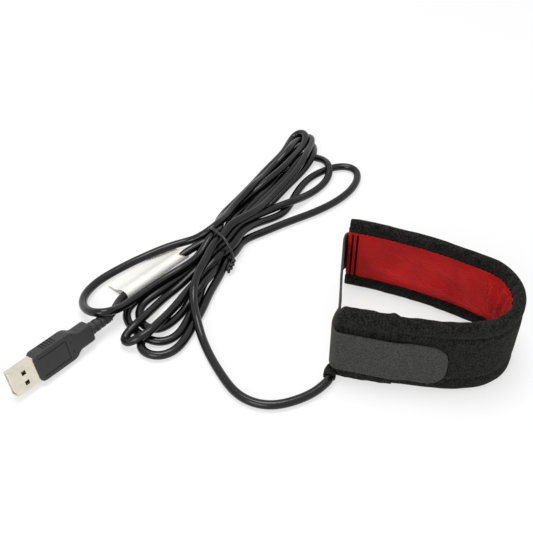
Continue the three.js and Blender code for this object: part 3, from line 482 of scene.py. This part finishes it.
ring = [(across, height, 0.9 * (i / len(TIE_RING) - 0.5)) for i, (across, height) in enumerate(TIE_RING)]
whole_tie = tie_tail(0)[::-1] + ring + tie_tail(math.pi)
tie_line = [(*(TIE_CENTRE + TIE_SIDE * across + TIE_AXIS * along), height)
            for across, height, along in whole_tie]
tie = round_line("wire_tie", even_path(tie_line, 0.7), TIE_WIRE / 2, 3)
tie_coat = bare_material("tie_coating_black")
tree = tie_coat.node_tree
principled(tree, {"Base Color": two_tone(tree, grain(tree, 3), "#0c0c0c", "#151515"), "Roughness": 0.35,
                  "Normal": bumped(tree, grain(tree, 1.2), 0.08, 0.5)})
tie.data.materials.append(tie_coat)
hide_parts("hank_tie")


# The outer shell
# Black loop velour, cut as one long piece and folded inward along both edges. A line of stitches
# under each edge draws a shallow groove in the outer face, and the two hems hold the lining.
NEAR_END = (-37.0, -27.0)
NEAR_HEADING = -14.9
STRETCHES = ((43.3, 7.7), (17.5, 15.8), (38.8, 93.1), (17.4, 44.2), (67.8, 19.1))
BAND_LENGTH = sum(length for length, turn in STRETCHES)
BAND_HEIGHT = 40.6
BAND_THICKNESS = 4.95
COVER_LENGTH = 24.6
BODY_START = COVER_LENGTH - 0.6
TOP_HEM = 6.5
BOTTOM_HEM = 7.4
NOSE_MIDDLE = 80.0
NOSE_REACH = 34.0
PUCKER_MIDDLE = 99.0
PUCKER_REACH = 24.0
LIP_SHARE = 0.08


def band_point(along, inward, z):
    """A point beside the band's outer face: along it from the near end, inward of it, at height z."""
    heading = math.radians(NEAR_HEADING)
    x, y = NEAR_END
    left = along
    for length, turn in STRETCHES:
        if left <= 0:
            break
        run = min(left, length)
        bend = math.radians(turn)
        after = heading + bend * run / length
        radius = length / bend
        x += radius * (math.sin(after) - math.sin(heading))
        y -= radius * (math.cos(after) - math.cos(heading))
        heading = after
        left -= run
    x += math.cos(heading) * left
    y += math.sin(heading) * left
    return Vector((x - inward * math.sin(heading), y + inward * math.cos(heading), z))


def sheet_mesh(name, columns, rows, place, width, height, closed=False):
    """A grid of cloth: place(u, v) gives its points, and its UV is in millimetres of cloth."""
    bm = bmesh.new()
    cloth_uv = bm.loops.layers.uv.new("cloth")
    bmesh.ops.create_grid(bm, x_segments=columns, y_segments=rows, size=0.5)
    share = {vert: (vert.co.x + 0.5, vert.co.y + 0.5) for vert in bm.verts}
    for face in bm.faces:
        for loop in face.loops:
            u, v = share[loop.vert]
            loop[cloth_uv].uv = (u * width, v * height)
    for vert, (u, v) in share.items():
        vert.co = Vector(place(u, v)) * MM
    if closed:
        bmesh.ops.remove_doubles(bm, verts=bm.verts, dist=1e-7)
        rims = [edge for edge in bm.edges if edge.is_boundary]
        bmesh.ops.holes_fill(bm, edges=rims)
        bmesh.ops.triangulate(bm, faces=[face for face in bm.faces if len(face.verts) > 4])
        bmesh.ops.recalc_face_normals(bm, faces=bm.faces)
    for face in bm.faces:
        face.smooth = True
    mesh = bpy.data.meshes.new(name)
    bm.to_mesh(mesh)
    bm.free()
    made = bpy.data.objects.new(name, mesh)
    bpy.context.scene.collection.objects.link(made)
    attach(made, "root")
    return made


def round_facets(piece, levels):
    """Subdivides a piece into a smoother one."""
    smooth = piece.modifiers.new("rounding", "SUBSURF")
    smooth.levels = levels
    smooth.render_levels = levels


def thicken(piece, thickness, offset):
    """Gives a sheet its thickness, to one side or about its middle."""
    wall = piece.modifiers.new("thickness", "SOLIDIFY")
    wall.thickness = thickness * MM
    wall.offset = offset


def bump_at(x, middle, reach):
    """A smooth hump: 1 at middle, 0 from reach away."""
    share = min(1.0, abs(x - middle) / reach)
    return 0.5 + 0.5 * math.cos(math.pi * share)


def ripple(along, z, seed=0.0):
    """Slow unevenness of hand-sewn cloth, about -1 to 1."""
    return (math.sin(along * 0.21 + seed) * 0.45 + math.sin(along * 0.47 + z * 0.11 + seed * 2.3) * 0.33
            + math.sin(along * 0.93 - z * 0.23 + seed * 1.7) * 0.22)


SHELL_SECTION = [
    (4.05, BAND_HEIGHT - TOP_HEM - 0.1), (4.7, BAND_HEIGHT - TOP_HEM + 0.3), (5.0, BAND_HEIGHT - 4.6),
    (4.9, BAND_HEIGHT - 2.2), (4.1, BAND_HEIGHT - 0.6), (2.5, BAND_HEIGHT), (0.9, BAND_HEIGHT - 0.6),
    (0.0, BAND_HEIGHT - 2.3), (-0.15, BAND_HEIGHT - 4.5), (0.15, BAND_HEIGHT - 6.6),
    (0.75, BAND_HEIGHT - 7.6), (0.1, BAND_HEIGHT - 8.8), (-0.15, BAND_HEIGHT - 12), (-0.1, 20),
    (-0.1, 12), (0.1, 9.2), (0.7, 8.0), (0.1, 6.8), (-0.15, 4.6), (0.0, 2.4), (0.9, 0.7), (2.5, 0.15),
    (4.1, 0.7), (4.9, 2.4), (5.0, 4.6), (4.75, BOTTOM_HEM - 0.4), (4.05, BOTTOM_HEM),
]
shell_path = even_path([(inward, z, 0) for inward, z in SHELL_SECTION], 0.7)
SHELL_COLUMNS = 128
SHELL_ROWS = 64
SHELL_GIRTH = 66.0
SHELL_CLOTH = 0.8
SHELL_WAVE = 0.18
GATHER_DEPTH = 0.45


def on_section(path, v):
    """The depth and height of a cross-section at a share of its length."""
    at = v * (len(path) - 1)
    i = min(int(at), len(path) - 2)
    inward, z, _ = path[i] + (path[i + 1] - path[i]) * (at - i)
    return inward, z


def cloth_wave(along, z, inner):
    """How far the shell stands off its section: slow waves, and gathers on the inside of the turn."""
    crown = bump_at(along, NOSE_MIDDLE, NOSE_REACH)
    return SHELL_WAVE * ripple(along, z) + inner * crown * GATHER_DEPTH * math.sin(along * 1.05 + z * 0.08)


def shell_place(u, v):
    """A point of the shell: waves along it, a crumpled top edge, and puckered lips where it is folded in."""
    along = BODY_START + u * (BAND_LENGTH - BODY_START)
    inward, z = on_section(shell_path, v)
    inward += cloth_wave(along, z, max(0.0, (inward - 2.5) / 2.5))
    edge = max(0.0, 1 - abs(BAND_HEIGHT - z) / 5) * 0.35 + max(0.0, 1 - z / 5) * 0.12
    rise = 0.6 * (1 - bump_at(along, 0, 120))
    z += edge * ripple(along, 0, 2.0) + max(0.0, z / BAND_HEIGHT) * rise
    lip = max(0.0, 1 - v / LIP_SHARE) - max(0.0, 1 - (1 - v) / LIP_SHARE)
    pucker = 0.9 * bump_at(along, PUCKER_MIDDLE, PUCKER_REACH)
    z += abs(lip) * pucker * math.sin(along * 0.82 + 1.4)
    end = max(0.0, 1 - (BAND_LENGTH - along) / 2.2)
    inward += (2.6 - inward) * 0.14 * end * end
    along += 0.45 * end * (1 - z / BAND_HEIGHT)
    return band_point(along, inward, max(z, 0.12))


shell_run = BAND_LENGTH - BODY_START
shell = sheet_mesh("shell_velour", SHELL_COLUMNS, SHELL_ROWS, shell_place, shell_run, SHELL_GIRTH)
thicken(shell, SHELL_CLOTH, 1)
round_facets(shell, 1)


def thread_waves(tree, period):
    """Two waves across the piece's own UV, one each way, with threads period millimetres apart."""
    place = add_node(tree, "ShaderNodeUVMap", uv_map="cloth")
    split = add_node(tree, "ShaderNodeSeparateXYZ", {0: place.outputs[0]})
    turned = [maths(tree, "MULTIPLY", split.outputs[axis], 2 * math.pi / period) for axis in (0, 1)]
    return [maths(tree, "SINE", angle) for angle in turned]


ROW_PITCH = 1.3


def velour(name, dark, light, sheen):
    """Brushed loop velour: matt pile with knitted rows that show through, and a grey bloom on its tufts."""
    made = bare_material(name)
    tree = made.node_tree
    rows = thread_waves(tree, ROW_PITCH)[0]
    tufts = grain(tree, 0.8, 3.0)
    brushed = grain(tree, 3.5, 2.0)
    both = maths(tree, "MULTIPLY_ADD", brushed, 0.3, tufts)
    pile = maths(tree, "MULTIPLY_ADD", rows, 0.025, both)
    principled(tree, {"Base Color": two_tone(tree, pile, dark, light, 0.52, 0.84), "Roughness": 0.95,
                      "Specular IOR Level": 0.12, "Sheen Weight": sheen, "Sheen Roughness": 0.5,
                      "Sheen Tint": linear("#8c8c86"), "Normal": bumped(tree, pile, 0.8, 0.9)})
    return made


pile_black = velour("loop_velour_black", "#060606", "#2b2b28", 0.1)
shell.data.materials.append(pile_black)
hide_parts("outer_shell")


# The end cover
# A sleeve of the same velour, drawn over the end that the cord enters and gathered shut there, so
# that it puffs up and its top edge runs in waves.
COVER_SECTION = [
    (2.5, 0.1), (0.2, 0.35), (-0.8, 1.6), (-1.05, 4), (-0.85, 7), (-0.35, 8.6), (-0.85, 10), (-1.1, 14),
    (-1.1, 22), (-0.95, 29), (-0.7, 31.6), (-0.1, 32.8), (-0.75, 34), (-1.05, 36.5), (-0.85, 39),
    (0.2, 40.6), (2.5, 41.1), (4.8, 40.6), (5.8, 39), (6.0, 36), (5.9, 28), (5.95, 14), (5.95, 5),
    (5.7, 1.6), (4.8, 0.4), (2.5, 0.1),
]
cover_path = even_path([(inward, z, 0) for inward, z in COVER_SECTION], 0.7)
COVER_START = -2.6
COVER_GIRTH = 95.0


def cover_place(u, v):
    """A point of the end cover: drawn shut at the cord's end, puffed between, drawn in at its hem."""
    along = COVER_START + u * (COVER_LENGTH - COVER_START)
    inward, z = on_section(cover_path, v % 1.0)
    shut = max(0.0, 1 - (along - COVER_START) / 3.6)
    inward += (2.5 - inward) * 0.92 * (1 - math.sqrt(1 - shut * shut))
    z -= max(0.0, z - BAND_HEIGHT / 2) / 20 * 4.6 * shut ** 1.6
    hem = max(0.0, 1 - (COVER_LENGTH - along) / 7)
    inward += (2.475 - inward) * 0.2 * hem ** 2
    z -= max(0.0, z - BAND_HEIGHT / 2) / 20 * 0.5 * hem ** 2
    puff = 0.32 * ripple(along * 1.7, z, 5.0) * (1 - shut)
    inward += puff if inward > 2.5 else -puff
    top = max(0.0, (z - 30) / 11)
    z += top * (0.22 * math.sin(along * 0.62 + 0.9) + 0.8 * bump_at(along, 22.2, 2.6) - 0.3)
    return band_point(along, inward, max(z, 0.12))


def refinish(material, *names):
    """Gives model nodes their finish."""
    for name in names:
        nodes[name].data.materials.clear()
        nodes[name].data.materials.append(material)


cover = sheet_mesh("cover_velour", 40, 96, cover_place, COVER_LENGTH, COVER_GIRTH, closed=True)
round_facets(cover, 1)
cover.data.materials.append(pile_black)
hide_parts("end_cover")
refinish(pile_black, "cord_cuff")


# The red lining
# Plain-woven nylon with a slight sheen, lying between the hems on the heater. It is too long for
# the inside of the turn, so it gathers there in slanting folds.
LINING_AT = 3.75
LINING_LOW = 6.6
LINING_HIGH = BAND_HEIGHT - TOP_HEM + 0.7
LINING_TUCK = 2.9
LINING_START = BODY_START + 1
LINING_END = BAND_LENGTH + 0.55
FOLDS = [
    (170, 15, 138, 10, 3.6, 1.1), (141, 13.5, 117, 8, 2.6, 1.7), (128, 31, 121.5, 12, 3.2, 1.5),
    (113.5, 30, 110, 13, 2.6, 2.4), (103.5, 31, 105.2, 12, 1.9, 3.3), (97.6, 31, 99.2, 10, 1.8, 2.9),
    (91.5, 30, 92.8, 12, 2.0, 2.6), (85.5, 29, 86.5, 12, 2.2, 1.9), (150, 30, 132, 24, 4.0, 0.8),
]


def fold_height(along, z):
    """How far the gathered cloth stands up: soft ridges, each between two points, run together."""
    height = 0.0
    for a0, z0, a1, z1, width, rise in FOLDS:
        share = ((along - a0) * (a1 - a0) + (z - z0) * (z1 - z0)) / ((a1 - a0) ** 2 + (z1 - z0) ** 2)
        share = min(1.0, max(0.0, share))
        off = math.hypot(along - a0 - share * (a1 - a0), z - z0 - share * (z1 - z0))
        height += (rise * math.exp(-(off / width) ** 2)) ** 2
    return math.sqrt(height)


def lining_place(u, v):
    """A point of the lining: flat by the hems, folded between them, tucked in at the far end."""
    along = LINING_START + u * (LINING_END - LINING_START)
    z = LINING_LOW + v * (LINING_HIGH - LINING_LOW)
    free = math.sin(math.pi * min(1.0, max(0.0, v))) ** 0.5
    slack = 0.3 * math.sin(along * 0.17 + z * 0.09) + 0.18 * math.sin(along * 0.31 - z * 0.13 + 1.0)
    held = min(1.0, max(0.0, (LINING_END - along) / 8))
    inward = LINING_AT + free * held * (fold_height(along, z) + 0.4 * slack)
    tuck = max(0.0, along - BAND_LENGTH + 0.05) / 0.6
    inward -= LINING_TUCK * min(1.0, tuck) ** 2
    return band_point(along, inward, z)


lining_size = (LINING_END - LINING_START, LINING_HIGH - LINING_LOW)
lining = sheet_mesh("lining_nylon", 220, 44, lining_place, *lining_size)
thicken(lining, 0.25, 0)

red_weave = bare_material("woven_nylon_red")
tree = red_weave.node_tree
warp, weft = thread_waves(tree, 1.05)
cross = maths(tree, "MULTIPLY", warp, weft)
tone = map_range(tree, cross, -1.0, 1.0)
mixed = maths(tree, "MULTIPLY_ADD", tone, 0.45, grain(tree, 14, 2.0))
principled(tree, {"Base Color": two_tone(tree, mixed, "#a80b0e", "#ea1e1e", 0.2, 1.1),
                  "Roughness": 0.5, "Specular IOR Level": 0.22, "Sheen Weight": 0.04,
                  "Sheen Tint": linear("#e8484c"), "Normal": bumped(tree, cross, 0.3, 0.9)})
lining.data.materials.append(red_weave)
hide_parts("red_lining")


# The closure strap
# Dark grey woven hook tape with firm selvedges, sewn to the far panel's end, drawn across the
# opening and pressed on the front panel. Its tip is cut round.
STRAP_WIDTH = 22.8
STRAP_MIDDLE = 17.1
STRAP_RISE = 1.9
STRAP_LIFT = 42.0
STRAP_OVERLAP = 13.0
STRAP_TIP = 46.8
STRAP_ROUND = 8.5
STRAP_OUT = 0.85
COVER_PROUD = 1.15
STRAP_TURN = [(-2.8, 14), (-3.7, 8.5), (-3.9, 4), (-3.1, 0.4), (-1.3, -1.7)]


def strap_outward(along):
    """The strap's depth on the front panel, where it steps down from the end cover to the shell."""
    share = min(1.0, max(0.0, (along - COVER_LENGTH + 1) / 8))
    return -STRAP_OUT - COVER_PROUD * (1 - share * share * (3 - 2 * share))


def strap_centre_line():
    """The strap seen from above, from its sewn end across the opening to its tip."""
    sewn_from = BAND_LENGTH - STRAP_OVERLAP
    far = [band_point(sewn_from + step, -STRAP_OUT, 0) for step in (0, 4, 8, 12, STRAP_OVERLAP)]
    front_steps = np.arange(0, STRAP_TIP + 0.1, 2.6)
    front = [band_point(along, strap_outward(along), 0) for along in front_steps]
    leave_way = (far[-1] - far[-2]).normalized()
    across = (front[0] - far[-1]).normalized()
    off = [far[-1] + leave_way * 1.7 + across * 1.3, far[-1] + leave_way * 2.6 + across * 4.8]
    turn = [band_point(along, inward, 0) for along, inward in STRAP_TURN]
    middle = [off[1].lerp(turn[0], share) for share in (0.25, 0.5, 0.75)]
    return even_path([tuple(p) for p in far + off + middle + turn + front], 1.0)


strap_line = strap_centre_line()
strap_length = float(np.linalg.norm(np.diff(strap_line, axis=0), axis=1).sum())


def strap_place(u, v):
    """A point of the strap: it drops a little towards its tip, which is cut round."""
    at = u * (len(strap_line) - 1)
    i = min(int(at), len(strap_line) - 2)
    x, y, _ = strap_line[i] + (strap_line[i + 1] - strap_line[i]) * (at - i)
    from_tip = (1 - u) * strap_length
    share = 1 - bump_at(from_tip, 0, STRAP_LIFT)
    half = STRAP_WIDTH / 2
    if from_tip < STRAP_ROUND:
        half += math.sqrt(max(0.0, STRAP_ROUND ** 2 - (STRAP_ROUND - from_tip) ** 2)) - STRAP_ROUND
    return x, y, STRAP_MIDDLE + STRAP_RISE * share + (v * 2 - 1) * half


strap = sheet_mesh("strap_tape", 190, 20, strap_place, strap_length, STRAP_WIDTH)
thicken(strap, 0.9, 0)
rim = strap.modifiers.new("selvedge", "BEVEL")
rim.width = 0.22 * MM
rim.segments = 2
rim.limit_method = "ANGLE"

hook_tape = bare_material("woven_hook_tape_grey")
tree = hook_tape.node_tree
rib = thread_waves(tree, 1.25)[0]
pick = thread_waves(tree, 0.9)[1]
cell_tone = map_range(tree, maths(tree, "MULTIPLY", rib, pick), -1.0, 1.0)
tape_tone = maths(tree, "MULTIPLY_ADD", cell_tone, 0.3, grain(tree, 0.8, 3.0))
principled(tree, {"Base Color": two_tone(tree, tape_tone, "#202120", "#474846", 0.4, 0.88),
                  "Roughness": 0.85, "Specular IOR Level": 0.25, "Sheen Weight": 0.1,
                  "Sheen Tint": linear("#9a9a9c"), "Normal": bumped(tree, tape_tone, 0.35, 0.8)})
strap.data.materials.append(hook_tape)
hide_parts("closure_strap")


# The stitching
# Black polyester thread: two dense bars across the lining's far end, a box that fastens the strap,
# and running stitches along both hems, on the inner and the outer face. Each stitch is one short
# rounded float of thread.
THREAD = 0.55
black_thread = bare_material("polyester_thread_black")
tree = black_thread.node_tree
principled(tree, {"Base Color": two_tone(tree, grain(tree, 0.8), "#030303", "#0a0a0a"), "Roughness": 0.9,
                  "Specular IOR Level": 0.1,
                  "Normal": bumped(tree, grain(tree, 0.3), 0.05, 0.6)})


def stitches(name, spots, length, width, *stood_for):
    """Short rounded floats of thread: each spot is (place, way) in millimetres, in one mesh."""
    bm = bmesh.new()
    for place, way in spots:
        made = bmesh.ops.create_icosphere(bm, subdivisions=2, radius=0.5)
        turn = Vector(way).to_track_quat("X", "Z").to_matrix().to_4x4()
        size = Matrix.Diagonal((length * MM, width * MM, width * MM, 1))
        shift = Matrix.Translation(Vector(place) * MM)
        bmesh.ops.transform(bm, verts=made["verts"], matrix=shift @ turn @ size)
    for face in bm.faces:
        face.smooth = True
    mesh = bpy.data.meshes.new(name)
    bm.to_mesh(mesh)
    bm.free()
    mesh.materials.append(black_thread)
    made = bpy.data.objects.new(name, mesh)
    bpy.context.scene.collection.objects.link(made)
    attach(made, "root")
    if stood_for:
        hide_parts(*stood_for)


BAR_PITCH = 0.62
for bar, from_end in enumerate((2.0, 4.4), 1):
    along = BAND_LENGTH - from_end
    spots = []
    for i in range(int((LINING_HIGH - LINING_LOW - 1.6) / BAR_PITCH)):
        z = LINING_LOW + 0.9 + i * BAR_PITCH
        way = band_point(along + 0.5, LINING_AT, z + 0.12) - band_point(along - 0.5, LINING_AT, z - 0.12)
        spots.append((band_point(along, LINING_AT + 0.32, z), way))
    stitches(f"stitch_bar_{bar}", spots, 1.0, 0.72, f"end_stitch_row_{bar}")

# Each seam's height and depth: the two hems on the inner face, then the two grooves of the outer
# face
STITCH_PITCH = 2.6
SEAMS = [
    (BOTTOM_HEM - 1.4, 4.85), (BAND_HEIGHT - TOP_HEM + 1.4, 4.85), (8.0, 0.66),
    (BAND_HEIGHT - 7.6, 0.7),
]
seam_spots = []
for z, inward in SEAMS:
    on_inner_face = inward > 2.5
    start = BODY_START + 2 if on_inner_face else 26.5
    for along in np.arange(start, BAND_LENGTH - 3, STITCH_PITCH):
        depth = inward + cloth_wave(along, z, 1.0 if on_inner_face else 0.0)
        way = band_point(along + 1, inward, z) - band_point(along, inward, z)
        seam_spots.append((band_point(along, depth, z), way))
stitches("seam_stitches", seam_spots, 1.7, THREAD)

BOX_INSET = 1.6
BOX_PITCH = 2.0
BOX_DEPTH = -STRAP_OUT - 0.5
box_low = STRAP_MIDDLE + STRAP_RISE - STRAP_WIDTH / 2 + BOX_INSET
box_high = box_low + STRAP_WIDTH - 2 * BOX_INSET
box_from = BAND_LENGTH - STRAP_OVERLAP + BOX_INSET
box_to = BAND_LENGTH - BOX_INSET
box_spots = []
for z in (box_low, box_high):
    for along in np.arange(box_from, box_to, BOX_PITCH):
        way = band_point(along + 1, 0, z) - band_point(along, 0, z)
        box_spots.append((band_point(along, BOX_DEPTH, z), way))
for along in (box_from, box_to):
    for z in np.arange(box_low, box_high, BOX_PITCH):
        box_spots.append((band_point(along, BOX_DEPTH, z), (0, 0, 1)))
stitches("strap_stitches", box_spots, 1.6, THREAD, "strap_box_stitch")


# The parts inside the band
# A needled felt pad, the resistance wire on its amber film, and the two leads with their shrink
# sleeves. Only the pad and the film's edge show, in the open ends of the hems. All keep the model's
# own solids.
def plain_finish(name, dark, light, size, roughness, metallic=0.0, depth=0.05):
    """One coat in two near tones, with spots and bumps of the given size in millimetres."""
    made = bare_material(name)
    tree = made.node_tree
    spots = grain(tree, size)
    principled(tree, {"Base Color": two_tone(tree, spots, dark, light), "Roughness": roughness,
                      "Metallic": metallic, "Normal": bumped(tree, spots, depth, 0.6)})
    return made


refinish(plain_finish("needled_felt", "#cfcabc", "#e2ded2", 1.5, 0.95, 0.0, 0.3), "insulation_pad")
refinish(plain_finish("resistance_wire", "#a89878", "#c9b994", 0.6, 0.35, 1.0), "heater_wire")
refinish(plain_finish("amber_film", "#b87f22", "#cf9534", 6, 0.3), "carrier_film")
refinish(plain_finish("lead_insulation_red", "#951414", "#ad1e1e", 1.5, 0.4), "lead_wire_red")
refinish(plain_finish("lead_insulation_black", "#0e0e0e", "#181818", 1.5, 0.4), "lead_wire_black")
refinish(plain_finish("shrink_sleeve", "#111111", "#1a1a1a", 1.0, 0.5),
         "joint_sleeve_red", "joint_sleeve_black")
refinish(jacket, "cord_tail")


# The label
# A flag of white plastic film, folded round the cord near the plug with its two leaves stuck
# together, left blank.
LABEL_SECTION = [
    (13.2, 0.75), (10, 1.15), (7, 2.0), (4.4, 3.5), (2.6, 4.75), (1.2, 5.3), (0, 5.4), (-1.5, 5.0),
    (-2.35, 3.6), (-2.2, 1.9), (-1.0, 0.75), (1.0, 0.45), (3.5, 0.35), (8, 0.3), (13, 0.3),
]
label_path = even_path([(out, z, 0) for out, z in LABEL_SECTION], 0.5)


LABEL_WAY = Vector((math.cos(LABEL_YAW), math.sin(LABEL_YAW), 0))
LABEL_ASIDE = Vector((-LABEL_WAY.y, LABEL_WAY.x, 0))


def label_place(u, v):
    """A point of the label: its upper leaf curls a little at the edge."""
    out, z = on_section(label_path, v)
    curl = max(0.0, 1 - v / 0.4)
    z += curl * (0.9 * (1 - u) ** 2 + 0.35 * math.sin(u * 7.0)) * min(1.0, out / 8)
    foot = Vector((LABEL_START[0], LABEL_START[1], 0)) + LABEL_WAY * (u * LABEL_LENGTH) + LABEL_ASIDE * out
    return foot + Vector((0, 0, max(z, 0.2)))


label = sheet_mesh("label_film", 44, 40, label_place, LABEL_LENGTH, LABEL_WIDTH)
thicken(label, 0.16, 0)
round_facets(label, 1)
label.data.materials.append(plain_finish("label_film_white", "#e4e2dd", "#efede8", 9, 0.42, 0.0, 0.05))
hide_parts("label_flag")


# The plug
# A USB type A plug: a folded nickel-plated steel shell round a white insulator with four gilt
# contacts, in a moulded black PVC grip with ribbed sides, whose rear runs out in a ringed strain
# relief.
moulded = plain_finish("moulded_pvc_black", "#1b1b1d", "#242426", 0.5, 0.55, 0.0, 0.06)
refinish(moulded, "plug_grip")
nickel = bare_material("nickel_plated_steel")
tree = nickel.node_tree
principled(tree, {"Base Color": two_tone(tree, grain(tree, 4), "#d3cdbf", "#e2dccd"), "Metallic": 1.0,
                  "Roughness": 0.27, "Normal": bumped(tree, grain(tree, 0.8), 0.02, 0.4)})
refinish(nickel, "plug_shell")
refinish(plain_finish("insulator_white", "#dcdad4", "#eceae4", 3, 0.45), "plug_insulator")
refinish(plain_finish("gilt_contact", "#c39a40", "#d9b25c", 1, 0.25, 1.0),
         "plug_contact_1", "plug_contact_2", "plug_contact_3", "plug_contact_4")
